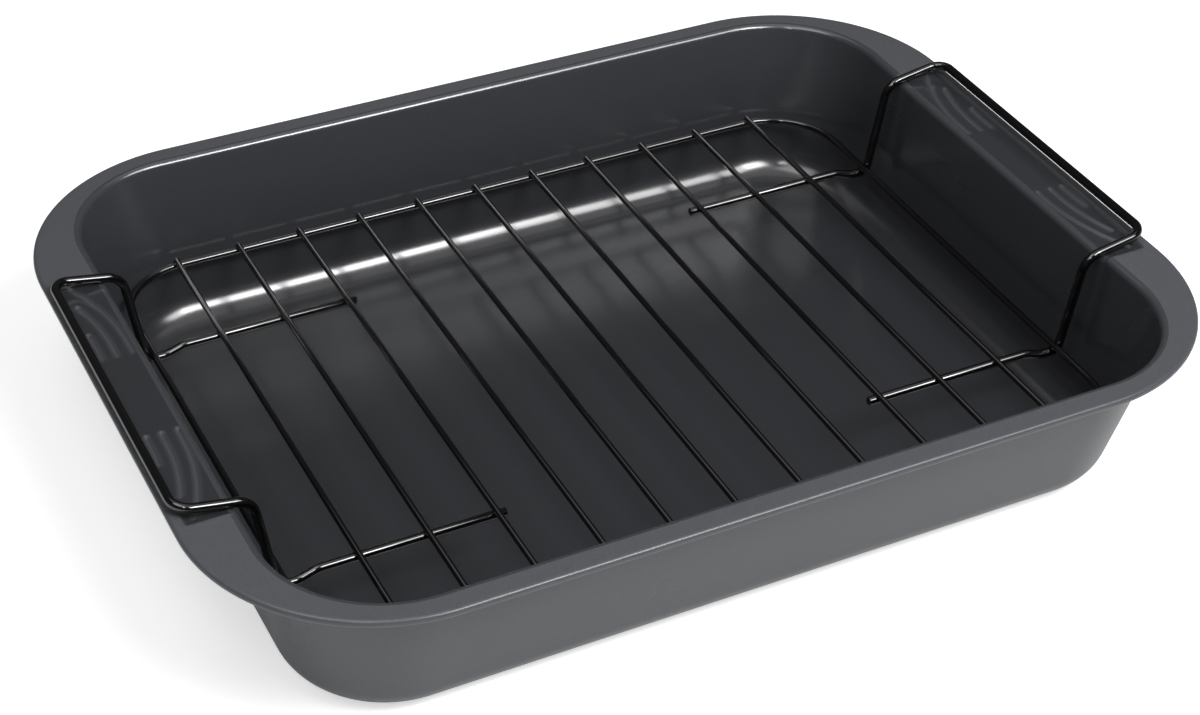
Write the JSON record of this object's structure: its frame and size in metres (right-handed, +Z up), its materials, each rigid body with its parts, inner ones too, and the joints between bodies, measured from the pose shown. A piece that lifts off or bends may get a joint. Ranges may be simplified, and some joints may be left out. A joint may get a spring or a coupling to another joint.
{
  "type": "roasting pan with rack",
  "caption": "Rectangular roasting pan with a wide rolled flange and sunk handle seats, holding a lift-out rack of welded wires with a raised wire handle at each end.",
  "frame": {"origin": "middle of the pan's underside, on the surface that it stands on", "axes": "+Z up out of the pan, +X along its length towards one handle, +Y across it"},
  "size_m": [0.42, 0.318, 0.0772],
  "materials": {
    "pan_coating": "satin non-stick coating on pressed steel",
    "wire_coating": "glossy black non-stick coating on steel wire"
  },
  "bodies": {
    "pan": {"pan": "pan_coating"},
    "rack": {"cross_wire_01": "wire_coating", "cross_wire_02": "wire_coating", "cross_wire_03": "wire_coating", "cross_wire_04": "wire_coating", "cross_wire_05": "wire_coating", "cross_wire_06": "wire_coating", "cross_wire_07": "wire_coating", "cross_wire_08": "wire_coating", "cross_wire_09": "wire_coating", "cross_wire_10": "wire_coating", "cross_wire_11": "wire_coating", "handle_wire_left": "wire_coating", "handle_wire_right": "wire_coating", "rack_frame": "wire_coating"}
  },
  "joints": [
    {"name": "rack_lift", "type": "slide", "parent": "pan", "child": "rack", "axis": [0, 0, 1], "range_m": [0, 0.12]}
  ]
}
